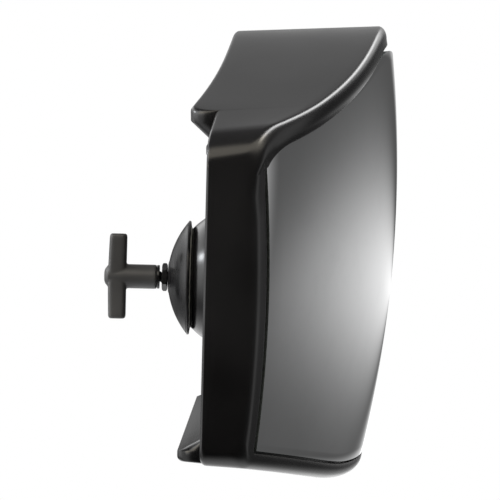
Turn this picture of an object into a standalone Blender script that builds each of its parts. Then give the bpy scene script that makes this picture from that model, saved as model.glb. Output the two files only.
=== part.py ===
"""Wide convex towing mirror: an arched head on a clamped ball socket, with a T-knob for its bracket.

Axes: +X is the way the glass faces, Y runs along the long side of the head, +Z is up.
The origin is on the stud's axis, on the outer face of the cup nut, where a bracket is clamped.
Sizes below are in millimetres and become metres as each mesh is made.
"""
import math

import bmesh
import bpy
from mathutils import Matrix, Vector

MM = 0.001
COLLECTION_NAME = "towing_mirror"
CUTTER_COLLECTION_NAME = "cutters"
MERGE_DISTANCE = 0.00001

# Where two pieces touch, their meshes keep this gap.
GAP = 0.3

# Ball socket. Places along X in this block are measured from the ball's centre.
BALL_X = 33.2
DOME_RADIUS = 29.0
DOME_WALL = 3.0
DOME_RIM_X = 1.0
STUD_HOLE_RADIUS = 13.4
RING_THICKNESS = 0.7
OUTER_RING_ANGLES = (30.0, 43.0)
INNER_RING_ANGLES = (31.0, 52.0)
CUP_OUTER_CENTRE_X = 4.2
CUP_OUTER_RADIUS = 35.2
CUP_RIM_RADIUS = 22.8
CUP_SEAT_X = -30.7
CUP_SEAT_RADIUS = 6.2
INNER_CUP_WALL = 1.6
INNER_CUP_ANGLE = 42.0
STUD_RADIUS = 2.3
STUD_OUTER_END_X = -50.0
STUD_INNER_END_X = 1.6
NUT_ACROSS_CORNERS_RADIUS = 5.6
CUP_NUT_THICKNESS = 2.2
SPRING_START_X = -20.1
SPRING_END_X = -8.4
SPRING_RADIUS = 6.6
SPRING_WIRE_RADIUS = 0.8
SPRING_TURNS = 4.5
SPRING_WASHER_THICKNESS = 1.2
LOCK_NUT_THICKNESS = 4.6
NYLON_RING_THICKNESS = 1.2
NYLON_RING_RADIUS = 4.3
SPRING_WASHER_RADIUS = 9.0
SPRING_END_CLOSENESS = 0.09

# T-knob, also measured from the ball's centre.
KNOB_FACE_X = -34.2
KNOB_WASHER_THICKNESS = 0.8
HUB_RADIUS = 4.85
BAR_INNER_X = -47.6
BAR_OUTER_X = -54.8
BAR_LENGTH = 34.0
BAR_WIDTH = 9.0
KNOB_TIP_X = -56.3
INSERT_RADIUS = 3.6
INSERT_LENGTH = 10.4
KNOB_BORE_END_X = -52.4
BAR_SLIMMING = 0.14
BAR_LEAN = 0.3
BAR_EDGE_RADIUS = 2.0

# Head outline. A share runs from 0 at the middle of the head to 1 at its ends.
HALF_LENGTH = 178.0
TOP_HEIGHT = 99.6
BOTTOM_HEIGHT = -70.3
TOP_SLOPE = 42.0
TOP_SHOULDER = 0.42
TOP_SOFTNESS = 0.12
BOTTOM_SLOPE = 12.7
BOTTOM_SHOULDER = 0.60
BOTTOM_SOFTNESS = 0.10
TOP_CORNER_RADIUS = 10.0
BOTTOM_CORNER_RADIUS = 6.0
END_EDGE_RADIUS = 1.2

# Glass.
GLASS_HALF_LENGTH = 172.0
GLASS_TOP = 90.4
GLASS_BOTTOM = -64.4
GLASS_CORNER_RADIUS = 6.0
GLASS_FRONT_X = 56.2
GLASS_VERTICAL_RADIUS = 470.0
GLASS_CROWN_HEIGHT = 37.9
GLASS_CROWN_FALL = 33.0
GLASS_CROWN_END_FALL = 12.0
GLASS_SETBACK = 33.0
GLASS_END_SETBACK = 22.0
GLASS_THICKNESS = 2.6
FILM_THICKNESS = 0.6
FILM_MARGIN = 1.0
TAPE_THICKNESS = 0.9
TAPE_WIDTH = 3.0
TAPE_MARGIN = 0.6
LEDGE_WIDTH = 4.2
EDGE_GAP = 0.7
SLOT_AT_TOP = 2.2

# Rim and walls.
LIP_FRONT_X = 53.2
LIP_SWEEP = 19.0
LIP_END_SWEEP = 27.5
LIP_END_POWER = 4.6
LIP_DEPTH = 3.0
LIP_HEIGHT = 4.5
LIP_BLEND_HEIGHT = 12.0
LIP_END_SHARE = 0.9
LOWER_LIP_DEPTH = 4.0
LOWER_LIP_HEIGHT = 5.0
WALL = 2.6

# Back panel and the two flanges that stand out behind it.
PANEL_X = -4.0
PANEL_SWEEP = 9.5
TOP_FLANGE_X = -5.2
TOP_FLANGE_SWEEP = 26.0
TOP_FLANGE_POWER = 3.4
TOP_FLANGE_DROP = 3.0
TOP_FLANGE_END_DROP = 5.0
BOTTOM_FLANGE_X = -21.2
BOTTOM_FLANGE_HEIGHT = -60.2
SHELF_HEIGHT = -55.8
FLANGE_END = 163.0
FLANGE_END_ROUND = 10.0
FLANGE_EDGE_RADIUS = 1.4


# ---------------------------------------------------------------- outline

def shoulder(share, slope, start, softness):
    """How far an edge has turned in: level at the middle, then a straight slope to the end."""
    past = share - start
    return slope * (past + math.hypot(past, softness))


def top_fall(share):
    return shoulder(share, TOP_SLOPE, TOP_SHOULDER, TOP_SOFTNESS)


def bottom_rise(share):
    return shoulder(share, BOTTOM_SLOPE, BOTTOM_SHOULDER, BOTTOM_SOFTNESS)


def corner_drop(y, end, radius):
    """How far a rounded corner has turned in, for a corner that ends at `end`."""
    past = max(0.0, abs(y) - (end - radius))
    return radius - math.sqrt(max(0.0, radius * radius - past * past))


def glass_top(y):
    share = abs(y) / HALF_LENGTH
    corner = corner_drop(y, GLASS_HALF_LENGTH, GLASS_CORNER_RADIUS)
    return GLASS_TOP - top_fall(share) - corner


def glass_bottom(y):
    share = abs(y) / HALF_LENGTH
    return GLASS_BOTTOM + bottom_rise(share)


def glass_x(y, z):
    """The glass's front surface."""
    share = abs(y) / HALF_LENGTH
    setback = GLASS_SETBACK * share ** 2 + GLASS_END_SETBACK * share ** 4
    crown = GLASS_CROWN_HEIGHT - GLASS_CROWN_FALL * share ** 2 - GLASS_CROWN_END_FALL * share ** 8
    edge = GLASS_TOP - top_fall(share)
    bulge = ((edge - crown) ** 2 - (z - crown) ** 2) / (2 * GLASS_VERTICAL_RADIUS)
    return GLASS_FRONT_X - setback + bulge


def behind_glass(y, z, depth):
    """The surface that lies `depth` behind the glass's front, measured square to it."""
    step = 0.5
    along = (glass_x(y + step, z) - glass_x(y - step, z)) / (2 * step)
    up = (glass_x(y, z + step) - glass_x(y, z - step)) / (2 * step)
    return glass_x(y, z) - depth * math.sqrt(1 + along * along + up * up)


def lip_x(y, z, top):
    """The rim's front surface: its own line along the top, and level with the glass below."""
    share = abs(y) / HALF_LENGTH
    top_line = LIP_FRONT_X - LIP_SWEEP * share ** 2 - LIP_END_SWEEP * share ** LIP_END_POWER
    height = min(1.0, max(0.0, 1 - (top - z) / LIP_BLEND_HEIGHT))
    blend = height * height * (3 - 2 * height)
    fade = 1 - 0.5 * max(0.0, share - LIP_END_SHARE) / (1 - LIP_END_SHARE)
    return glass_x(y, z) + blend * fade * (top_line - glass_x(y, top))


def flange_reach(y):
    """1 along a flange, falling to 0 round its end."""
    past = (abs(y) - (FLANGE_END - FLANGE_END_ROUND)) / FLANGE_END_ROUND
    past = min(1.0, max(0.0, past))
    return math.sqrt(1 - past * past)


def head_section(y, inset):
    """The head's outline across its length at y, from the top flange's tip over the front and back."""
    share = abs(y) / HALF_LENGTH
    reach = flange_reach(y)
    top = TOP_HEIGHT - top_fall(share) - corner_drop(y, HALF_LENGTH, TOP_CORNER_RADIUS)
    low_corner = corner_drop(y, HALF_LENGTH, BOTTOM_CORNER_RADIUS)
    bottom = BOTTOM_HEIGHT + bottom_rise(share) + low_corner
    panel = PANEL_X - PANEL_SWEEP * share ** 2 + inset
    swept_tip = min(TOP_FLANGE_X - TOP_FLANGE_SWEEP * share ** TOP_FLANGE_POWER, panel - 1.0)
    tip = panel - (panel - swept_tip) * reach
    tip_top = top - TOP_FLANGE_DROP - TOP_FLANGE_END_DROP * (1 - reach) * (1 - share)
    tail = panel - (panel - BOTTOM_FLANGE_X) * reach
    tail_bottom = BOTTOM_FLANGE_HEIGHT + low_corner
    shelf = SHELF_HEIGHT + low_corner
    edge = FLANGE_EDGE_RADIUS

    points = [(tip, tip_top - 1.6 * edge), (tip + 0.3 * edge, tip_top - 0.3 * edge)]
    front_top = lip_x(y, top - LIP_HEIGHT, top - LIP_HEIGHT) - inset
    for i in range(6):
        t = i / 5
        x = tip + edge + (front_top - LIP_DEPTH - tip - edge) * t
        points.append((x, tip_top + (top - tip_top) * t))
    for i in range(1, 5):
        turn = math.radians(90 * i / 4)
        points.append((front_top - LIP_DEPTH * (1 - math.sin(turn)),
                       top - LIP_HEIGHT * (1 - math.cos(turn))))
    low = bottom + LOWER_LIP_HEIGHT
    for i in range(1, 9):
        z = top - LIP_HEIGHT + (low - top + LIP_HEIGHT) * i / 8
        points.append((lip_x(y, z, top - LIP_HEIGHT) - inset, z))
    front_low = points[-1][0]
    depth = min(LOWER_LIP_DEPTH, 0.6 * (front_low - panel))
    for i in range(1, 6):
        turn = math.radians(90 * i / 5)
        points.append((front_low - depth * (1 - math.cos(turn)),
                       low - LOWER_LIP_HEIGHT * math.sin(turn)))
    start_x, start_z = points[-1]
    for i in range(1, 7):
        t = i / 6
        points.append((start_x + (tail + edge - start_x) * t,
                       start_z + (tail_bottom - start_z) * t))
    points.append((tail + 0.2 * edge, tail_bottom + 0.8 * edge))
    points.append((tail, tail_bottom + 1.8 * edge))
    points.append((tail + 0.2 * (panel - tail), shelf))
    root = tip_top - 1.6 * edge - 0.7 * (panel - tip) - 0.8
    for i in range(9):
        points.append((panel, shelf + 0.4 + (root - shelf - 0.4) * i / 8))
    return points


def interior_section(y):
    """The hollow of the head, in front of its back panel and behind the glass ledge's opening."""
    share = abs(y) / HALF_LENGTH
    back = PANEL_X - PANEL_SWEEP * share ** 2 + WALL
    front_top = glass_top(y) - LEDGE_WIDTH
    front_bottom = glass_bottom(y) + LEDGE_WIDTH
    back_top = TOP_HEIGHT - top_fall(share) - TOP_FLANGE_DROP - 2 * WALL
    back_bottom = SHELF_HEIGHT + 0.4
    points = []
    for i in range(9):
        points.append((back, back_bottom + (back_top - back_bottom) * i / 8))
    for i in range(9):
        z = front_top + (front_bottom - front_top) * i / 8
        points.append((max(back + 1.0, behind_glass(y, z, -8.0)), z))
    return points


def recess_section(y):
    """The space that the glass and its tape drop into, open towards the front."""
    slot = SLOT_AT_TOP * max(0.0, 1 - (y / (0.5 * HALF_LENGTH)) ** 2)
    top = glass_top(y) + EDGE_GAP + slot
    bottom = glass_bottom(y) - EDGE_GAP
    depth = GLASS_THICKNESS + TAPE_THICKNESS + 2 * GAP
    points = []
    for i in range(13):
        z = bottom + (top - bottom) * i / 12
        points.append((behind_glass(y, z, depth), z))
    for i in range(13):
        z = top + (bottom - top) * i / 12
        points.append((behind_glass(y, z, -12.0), z))
    return points


def stations(end, corner, steps):
    """Places along Y, closer together round the corners at both ends."""
    half = [(end - corner) * i / steps for i in range(steps + 1)]
    half += [end - corner * (1 - math.sin(math.radians(turn))) for turn in (18, 36, 54, 72, 90)]
    return [-y for y in reversed(half[1:])] + half


# ---------------------------------------------------------------- making objects

def clear_scene():
    for old in list(bpy.data.objects):
        bpy.data.objects.remove(old, do_unlink=True)


def make_collection(name):
    collection = bpy.data.collections.new(name)
    bpy.context.scene.collection.children.link(collection)
    return collection


def make_material(name, colour, roughness, metallic=0.0):
    material = bpy.data.materials.new(name)
    material.use_nodes = True
    shader = material.node_tree.nodes["Principled BSDF"]
    shader.inputs["Base Color"].default_value = (*colour, 1.0)
    shader.inputs["Roughness"].default_value = roughness
    shader.inputs["Metallic"].default_value = metallic
    return material


def from_ball(x, y, z):
    """A place measured from the ball's centre in millimetres, as a point in metres."""
    return Vector(((BALL_X + x) * MM, y * MM, z * MM))


def add_object(name, mesh, collection, material=None):
    thing = bpy.data.objects.new(name, mesh)
    collection.objects.link(thing)
    if material:
        mesh.materials.append(material)
    return thing


def mesh_from_bmesh(name, shape):
    bmesh.ops.recalc_face_normals(shape, faces=shape.faces)
    mesh = bpy.data.meshes.new(name)
    shape.to_mesh(mesh)
    shape.free()
    mesh.shade_smooth()
    mesh.set_sharp_from_angle(angle=math.radians(35))
    return mesh


def loft(name, rings, collection, material=None):
    """A closed solid through rings of points that all have the same count."""
    shape = bmesh.new()
    rows = [[shape.verts.new(from_ball(*point)) for point in ring] for ring in rings]
    count = len(rows[0])
    for near, far in zip(rows, rows[1:]):
        for i in range(count):
            j = (i + 1) % count
            shape.faces.new((near[i], near[j], far[j], far[i]))
    shape.faces.new(rows[0])
    shape.faces.new(list(reversed(rows[-1])))
    return add_object(name, mesh_from_bmesh(name, shape), collection, material)


def sheet(name, places, low, high, depth, thickness, rows, material):
    """A curved sheet behind the glass's front, between two edges, made solid with Solidify."""
    shape = bmesh.new()
    grid = []
    for y in places:
        column = []
        for i in range(rows + 1):
            z = low(y) + (high(y) - low(y)) * i / rows
            column.append(shape.verts.new(from_ball(behind_glass(y, z, depth), y, z)))
        grid.append(column)
    for left, right in zip(grid, grid[1:]):
        for i in range(rows):
            shape.faces.new((left[i], right[i], right[i + 1], left[i + 1]))
    piece = add_object(name, mesh_from_bmesh(name, shape), PARTS, material)
    first = piece.data.polygons[0]
    if first.normal.x < 0:
        piece.data.flip_normals()
    solid = piece.modifiers.new("thickness", "SOLIDIFY")
    solid.thickness = thickness * MM
    solid.offset = -1.0
    solid.use_even_offset = True
    return piece


def runs_upwards_outside(profile):
    """Whether a closed profile's outer side runs towards +X, which would turn it inside out."""
    area = 0.0
    for (radius, x), (next_radius, next_x) in zip(profile, profile[1:] + profile[:1]):
        area += radius * next_x - next_radius * x
    return area > 0


def turned(name, profile, collection, material=None, closed=True, steps=32):
    """A piece turned about the stud's axis. The profile is (radius, place along X) pairs."""
    mesh = bpy.data.meshes.new(name)
    if closed and runs_upwards_outside(profile):
        profile = list(reversed(profile))
    points = [(radius * MM, 0.0, (BALL_X + x) * MM) for radius, x in profile]
    edges = [(i, i + 1) for i in range(len(points) - 1)]
    if closed:
        edges.append((len(points) - 1, 0))
    mesh.from_pydata(points, edges, [])
    piece = add_object(name, mesh, collection, material)
    piece.rotation_euler = (0.0, math.radians(90), 0.0)
    screw = piece.modifiers.new("turn", "SCREW")
    screw.axis = "Z"
    screw.angle = math.radians(360)
    screw.steps = steps
    screw.render_steps = steps
    screw.use_merge_vertices = True
    screw.merge_threshold = MERGE_DISTANCE
    screw.use_smooth_shade = True
    return piece


def arc(centre_x, radius, start, end, steps):
    """Points on a circle about the stud's axis; angles run from the outward end of the axis."""
    points = []
    for i in range(steps + 1):
        angle = math.radians(start + (end - start) * i / steps)
        points.append((radius * math.sin(angle), centre_x - radius * math.cos(angle)))
    return points


def cut(target, cutter, operation="DIFFERENCE"):
    cutter.hide_render = True
    cutter.display_type = "WIRE"
    boolean = target.modifiers.new(cutter.name, "BOOLEAN")
    boolean.operation = operation
    boolean.solver = "EXACT"
    boolean.object = cutter


def hexagon(name, x_low, x_high, bore, material, corner_radius=NUT_ACROSS_CORNERS_RADIUS):
    """A hexagon nut on the stud, with a plain bore."""
    shape = bmesh.new()
    bmesh.ops.create_cone(shape, cap_ends=True, segments=6, radius1=corner_radius * MM,
                          radius2=corner_radius * MM, depth=(x_high - x_low) * MM)
    turn = Matrix.Rotation(math.radians(90), 4, "Y") @ Matrix.Rotation(math.radians(30), 4, "Z")
    bmesh.ops.transform(shape, matrix=turn, verts=shape.verts)
    nut = add_object(name, mesh_from_bmesh(name, shape), PARTS, material)
    nut.location = from_ball((x_low + x_high) / 2, 0, 0)
    hole = turned(name + "_bore", [(0.0, x_high + 2), (bore, x_high + 2),
                                   (bore, x_low - 2), (0.0, x_low - 2)], CUTTERS, closed=False)
    cut(nut, hole)


# ---------------------------------------------------------------- the head

def make_housing(material):
    """One moulding: the outer shell, hollowed behind the glass, with the ball's dome on its back."""
    rings = []
    for y in stations(HALF_LENGTH - END_EDGE_RADIUS, TOP_CORNER_RADIUS, 16):
        rings.append([(x, y, z) for x, z in head_section(y, 0.0)])
    left_end = [(x, -HALF_LENGTH, z) for x, z in head_section(-HALF_LENGTH, END_EDGE_RADIUS)]
    right_end = [(x, HALF_LENGTH, z) for x, z in head_section(HALF_LENGTH, END_EDGE_RADIUS)]
    housing = loft("housing", [left_end] + rings + [right_end], PARTS, material)

    hollow_end = GLASS_HALF_LENGTH - LEDGE_WIDTH
    hollow = loft("interior", [[(x, y, z) for x, z in interior_section(y)]
                               for y in stations(hollow_end, 8.0, 12)], CUTTERS)
    recess_end = GLASS_HALF_LENGTH + EDGE_GAP
    recess = loft("glass_recess", [[(x, y, z) for x, z in recess_section(y)]
                                   for y in stations(recess_end, GLASS_CORNER_RADIUS, 12)], CUTTERS)
    dome_profile = [(0.0, DOME_RIM_X), (DOME_RADIUS, DOME_RIM_X)]
    dome_profile += list(reversed(arc(0.0, DOME_RADIUS, 0.0, 89.0, 12)))
    dome = turned("dome_outside", dome_profile, CUTTERS, closed=False, steps=40)
    socket = turned("socket", list(reversed(arc(0.0, DOME_RADIUS - DOME_WALL, 0.0, 180.0, 24))),
                    CUTTERS, closed=False, steps=40)
    hole_start = -DOME_RADIUS - DOME_WALL
    hole_end = hole_start + 4 * DOME_WALL
    hole = turned("stud_hole", [(0.0, hole_end), (STUD_HOLE_RADIUS, hole_end),
                                (STUD_HOLE_RADIUS, hole_start), (0.0, hole_start)],
                  CUTTERS, closed=False)
    cut(housing, hollow)
    cut(housing, recess)
    cut(housing, dome, "UNION")
    cut(housing, socket)
    cut(housing, hole)


def make_glass_and_bonding(glass_material, film_material, tape_material):
    places = stations(GLASS_HALF_LENGTH, GLASS_CORNER_RADIUS, 14)
    sheet("mirror_glass", places, glass_bottom, glass_top, 0.0, GLASS_THICKNESS, 10, glass_material)

    margin = LEDGE_WIDTH + FILM_MARGIN
    inner_end = GLASS_HALF_LENGTH - margin
    film_places = stations(inner_end, 4.0, 10)
    sheet("safety_film", film_places, lambda y: glass_bottom(y) + margin,
          lambda y: glass_top(y) - margin, GLASS_THICKNESS + GAP, FILM_THICKNESS, 8, film_material)

    depth = GLASS_THICKNESS + GAP
    strip_places = [inner_end * (i / 10 - 1) for i in range(21)]
    sheet("tape_top", strip_places, lambda y: glass_top(y) - TAPE_MARGIN - TAPE_WIDTH,
          lambda y: glass_top(y) - TAPE_MARGIN, depth, TAPE_THICKNESS, 2, tape_material)
    sheet("tape_bottom", strip_places, lambda y: glass_bottom(y) + TAPE_MARGIN,
          lambda y: glass_bottom(y) + TAPE_MARGIN + TAPE_WIDTH, depth, TAPE_THICKNESS, 2,
          tape_material)
    end_places = [inner_end + FILM_MARGIN + GAP + TAPE_WIDTH * i / 2 for i in range(3)]
    for name, side in (("tape_left", -1), ("tape_right", 1)):
        sheet(name, [side * y for y in end_places], lambda y: glass_bottom(y) + 1.0,
              lambda y: GLASS_TOP - top_fall(abs(y) / HALF_LENGTH) - 8.0,
              depth, TAPE_THICKNESS, 12, tape_material)


# ---------------------------------------------------------------- the socket's hardware

def make_socket(steel, dark_steel, nylon):
    outer_ring = DOME_RADIUS + GAP
    profile = arc(0.0, outer_ring + RING_THICKNESS, *OUTER_RING_ANGLES, 4)
    profile += list(reversed(arc(0.0, outer_ring, *OUTER_RING_ANGLES, 4)))
    turned("outer_friction_ring", profile, PARTS, nylon)

    inner_ring = DOME_RADIUS - DOME_WALL - GAP
    profile = arc(0.0, inner_ring, *INNER_RING_ANGLES, 4)
    profile += list(reversed(arc(0.0, inner_ring - RING_THICKNESS, *INNER_RING_ANGLES, 4)))
    turned("inner_friction_ring", profile, PARTS, nylon)

    bore = STUD_RADIUS + GAP
    cup_inside = outer_ring + RING_THICKNESS + GAP
    rim_angle = math.degrees(math.asin(CUP_RIM_RADIUS / CUP_OUTER_RADIUS))
    seat_angle = math.degrees(math.asin(CUP_SEAT_RADIUS / CUP_OUTER_RADIUS))
    inner_rim_angle = math.degrees(math.asin((CUP_RIM_RADIUS - 0.3) / cup_inside)) - 0.5
    bore_angle = math.degrees(math.asin(bore / cup_inside))
    profile = [(bore, CUP_SEAT_X), (CUP_SEAT_RADIUS - 0.4, CUP_SEAT_X)]
    profile += arc(CUP_OUTER_CENTRE_X, CUP_OUTER_RADIUS, seat_angle, rim_angle, 6)
    profile += list(reversed(arc(0.0, cup_inside, bore_angle, inner_rim_angle, 6)))
    turned("outer_cup", profile, PARTS, dark_steel)

    cup_radius = inner_ring - RING_THICKNESS - GAP
    profile = arc(0.0, cup_radius, math.degrees(math.asin(bore / cup_radius)), INNER_CUP_ANGLE, 5)
    inside = cup_radius - INNER_CUP_WALL
    profile += list(reversed(arc(0.0, inside, math.degrees(math.asin(bore / inside)),
                                 INNER_CUP_ANGLE, 5)))
    turned("inner_cup", profile, PARTS, steel)

    turned("pivot_stud", [(0.0, STUD_INNER_END_X), (STUD_RADIUS - 0.4, STUD_INNER_END_X),
                          (STUD_RADIUS, STUD_INNER_END_X - 0.4), (STUD_RADIUS, STUD_OUTER_END_X + 0.5),
                          (STUD_RADIUS - 0.5, STUD_OUTER_END_X), (0.0, STUD_OUTER_END_X)],
           PARTS, dark_steel, closed=False, steps=24)

    seat = -BALL_X
    hexagon("cup_nut", seat, seat + CUP_NUT_THICKNESS, bore, dark_steel)
    washer_start = SPRING_END_X + GAP
    washer_end = washer_start + SPRING_WASHER_THICKNESS
    turned("spring_washer", [(bore, washer_start), (SPRING_WASHER_RADIUS, washer_start),
                             (SPRING_WASHER_RADIUS, washer_end), (bore, washer_end)], PARTS, steel)
    nut_start = washer_end + GAP
    nut_end = nut_start + LOCK_NUT_THICKNESS
    hexagon("lock_nut", nut_start, nut_end, bore, steel)
    ring_start = nut_end + GAP
    ring_end = ring_start + NYLON_RING_THICKNESS
    turned("lock_nut_nylon_ring", [(bore, ring_start), (NYLON_RING_RADIUS, ring_start),
                                   (NYLON_RING_RADIUS, ring_end), (bore, ring_end)],
           PARTS, nylon, steps=24)
    make_spring(steel)


def make_spring(material):
    """A compression spring on the stud, its end turns lying closer together."""
    curve = bpy.data.curves.new("clamp_spring", "CURVE")
    curve.dimensions = "3D"
    curve.bevel_depth = SPRING_WIRE_RADIUS * MM
    curve.bevel_resolution = 2
    curve.use_fill_caps = True
    steps_a_turn = 16
    count = int(SPRING_TURNS * steps_a_turn)
    line = curve.splines.new("POLY")
    line.points.add(count)
    first = SPRING_START_X + SPRING_WIRE_RADIUS
    length = SPRING_END_X - SPRING_WIRE_RADIUS - first
    for i in range(count + 1):
        share = i / count
        eased = share - SPRING_END_CLOSENESS * math.sin(2 * math.pi * share)
        turn = 2 * math.pi * i / steps_a_turn
        place = from_ball(first + length * eased, SPRING_RADIUS * math.cos(turn),
                          SPRING_RADIUS * math.sin(turn))
        line.points[i].co = (*place, 1.0)
    spring = bpy.data.objects.new("clamp_spring", curve)
    PARTS.objects.link(spring)
    curve.materials.append(material)


# ---------------------------------------------------------------- the knob

def make_knob(plastic, brass, steel):
    washer_end = KNOB_FACE_X - KNOB_WASHER_THICKNESS
    turned("knob_washer", [(STUD_RADIUS + GAP, KNOB_FACE_X), (HUB_RADIUS - 0.2, KNOB_FACE_X),
                           (HUB_RADIUS - 0.2, washer_end), (STUD_RADIUS + GAP, washer_end)],
           PARTS, steel, steps=32)

    hub_face = washer_end - GAP
    knob = turned("t_knob", [(0.0, hub_face), (HUB_RADIUS - 0.4, hub_face), (HUB_RADIUS, hub_face - 0.4),
                             (HUB_RADIUS, BAR_INNER_X - 2.0), (HUB_RADIUS - 0.8, BAR_OUTER_X),
                             (2.6, KNOB_TIP_X), (0.0, KNOB_TIP_X)],
                  PARTS, plastic, closed=False, steps=40)
    bar = make_bar()
    bore_start = hub_face + 2.0
    insert_end = hub_face - INSERT_LENGTH
    seat = INSERT_RADIUS + GAP
    seat_end = insert_end - GAP
    stud_way = STUD_RADIUS + 2 * GAP
    bore = turned("knob_bore", [(0.0, bore_start), (seat, bore_start), (seat, seat_end),
                                (stud_way, seat_end), (stud_way, KNOB_BORE_END_X),
                                (0.0, KNOB_BORE_END_X)], CUTTERS, closed=False, steps=32)
    cut(knob, bar, "UNION")
    cut(knob, bore)
    turned("knob_insert", [(STUD_RADIUS + GAP, hub_face - 0.2), (INSERT_RADIUS, hub_face - 0.2),
                           (INSERT_RADIUS, insert_end), (STUD_RADIUS + GAP, insert_end)],
           PARTS, brass, steps=32)


def make_bar():
    """The knob's cross bar, a little thicker at the hub than at its ends."""
    shape = bmesh.new()
    bmesh.ops.create_cube(shape, size=1.0)
    middle = (BAR_INNER_X + BAR_OUTER_X) / 2
    depth = BAR_INNER_X - BAR_OUTER_X
    bmesh.ops.subdivide_edges(shape, edges=[e for e in shape.edges
                                            if abs(e.verts[0].co.z - e.verts[1].co.z) > 0.5],
                              cuts=5, use_grid_fill=True)
    for vert in shape.verts:
        share = 2 * abs(vert.co.z)
        slim = 1 - BAR_SLIMMING * share * share
        place = from_ball(middle + BAR_LEAN * share + vert.co.x * depth * slim,
                          vert.co.y * BAR_WIDTH * slim, vert.co.z * BAR_LENGTH)
        vert.co = place
    bar = add_object("knob_bar", mesh_from_bmesh("knob_bar", shape), CUTTERS)
    bevel = bar.modifiers.new("round", "BEVEL")
    bevel.width = BAR_EDGE_RADIUS * MM
    bevel.segments = 3
    bevel.limit_method = "ANGLE"
    bevel.angle_limit = math.radians(50)
    return bar


clear_scene()
PARTS = make_collection(COLLECTION_NAME)
CUTTERS = make_collection(CUTTER_COLLECTION_NAME)

black_plastic = make_material("black_plastic", (0.012, 0.012, 0.013), 0.3)
knob_plastic = make_material("knob_plastic", (0.02, 0.02, 0.021), 0.5)
mirror = make_material("mirror", (0.86, 0.87, 0.88), 0.02, 1.0)
film = make_material("film", (0.25, 0.26, 0.27), 0.6)
foam_tape = make_material("foam_tape", (0.03, 0.03, 0.03), 0.9)
zinc_steel = make_material("zinc_steel", (0.55, 0.55, 0.53), 0.35, 1.0)
black_steel = make_material("black_steel", (0.04, 0.04, 0.042), 0.35, 0.6)
white_nylon = make_material("white_nylon", (0.75, 0.74, 0.7), 0.5)
brass_metal = make_material("brass_metal", (0.7, 0.55, 0.28), 0.3, 1.0)

make_housing(black_plastic)
make_glass_and_bonding(mirror, film, foam_tape)
make_socket(zinc_steel, black_steel, white_nylon)
make_knob(knob_plastic, brass_metal, black_steel)
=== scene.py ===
import math

import bmesh
import bpy
from mathutils import Matrix, Vector


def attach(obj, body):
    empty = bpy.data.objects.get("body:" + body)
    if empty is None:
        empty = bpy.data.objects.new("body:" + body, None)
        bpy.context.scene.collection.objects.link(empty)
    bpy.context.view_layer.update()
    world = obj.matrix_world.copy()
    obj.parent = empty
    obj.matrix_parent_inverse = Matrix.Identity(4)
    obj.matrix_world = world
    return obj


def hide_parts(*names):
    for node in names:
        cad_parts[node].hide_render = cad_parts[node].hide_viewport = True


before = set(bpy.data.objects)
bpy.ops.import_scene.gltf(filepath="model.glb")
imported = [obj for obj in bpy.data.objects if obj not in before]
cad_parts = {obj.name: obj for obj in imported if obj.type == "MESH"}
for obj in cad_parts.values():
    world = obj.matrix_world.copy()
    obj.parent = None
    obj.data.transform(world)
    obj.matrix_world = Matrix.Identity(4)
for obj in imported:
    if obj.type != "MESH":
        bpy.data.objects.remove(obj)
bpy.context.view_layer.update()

MM = 0.001
LIGHT_AXIS = (0.0545, 1.0, -0.0147)

# ---------------------------------------------------------------- dimensions

BALL_X = 33.2
DOME_RADIUS = 29.0
DOME_WALL = 3.0
STUD_HOLE_RADIUS = 13.4
RING_OUTSIDE = 30.0
CUP_CENTRE_X = 4.2
CUP_RADIUS = 35.2
CUP_RIM_RADIUS = 22.8
CUP_INNER_RIM_ANGLE = 44.0
CUP_SEAT_X = -30.7
CUP_SEAT_RADIUS = 6.2
STUD_RADIUS = 2.3
STUD_ENDS = (-50.0, 1.6)
THREAD_PITCH = 1.058
THREAD_DEPTH = 0.42
THREAD_END_X = -31.0
THREAD_STEPS = 8
NUT_CORNER_RADIUS = 5.6
NUT_THICKNESS = 2.2
KNOB_FACE_X = -34.2
WASHER_THICKNESS = 1.05
HUB_RADIUS = 4.85
HUB_FACE_X = -35.3
BAR_INNER_X = -47.6
BAR_OUTER_X = -54.8
BAR_LENGTH = 34.0
BAR_WIDTH = 9.0
KNOB_TIP_X = -56.28
BAR_CORNER = 1.7
BAR_TAPER = 0.05
BAR_BOW = 0.3
BAR_END_START = 0.93
BAR_END_ROUNDING = 0.28
BAR_STATIONS = (0.0, 0.2, 0.4, 0.6, 0.75, 0.87, 0.92, 0.96, 0.985, 1.0)
CORNER_SHARPNESS = 2.4
KNOB_VOXEL = 0.38
INSERT_RADIUS = 3.6
INSERT_LENGTH = 10.4
KNOB_BORE_END_X = -52.4

HALF_LENGTH = 178.0
TOP_HEIGHT = 99.58
BOTTOM_HEIGHT = -70.3
TOP_TURN = (42.0, 0.42, 0.12)
BOTTOM_TURN = (12.7, 0.60, 0.10)
TOP_CORNER_RADIUS = 8.0
BOTTOM_CORNER_RADIUS = 6.0
END_FILLET = 2.2
GLASS_HALF_LENGTH = 172.0
GLASS_TOP = 90.4
GLASS_BOTTOM = -64.4
GLASS_CORNER_RADIUS = 6.0
GLASS_FRONT_X = 56.14
GLASS_VERTICAL_RADIUS = 470.0
GLASS_CROWN_HEIGHT = 37.9
GLASS_CROWN_FALL = 33.0
GLASS_CROWN_END_FALL = 12.0
GLASS_SETBACK = 33.0
GLASS_END_SETBACK = 22.0
GLASS_THICKNESS = 2.6
RECESS_DEPTH = 4.1
EDGE_GAP = 0.7
SLOT_AT_TOP = 2.2
LIP_FRONT_X = 53.2
LIP_SWEEP = 19.0
LIP_END_SWEEP = 27.5
LIP_END_POWER = 4.6
LIP_DEPTH = 3.0
LIP_HEIGHT = 4.5
LIP_BLEND_HEIGHT = 12.0
LIP_END_SHARE = 0.84
LOWER_LIP_DEPTH = 4.0
LOWER_LIP_HEIGHT = 5.0
LIP_INNER_FILLET = 0.6
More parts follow.
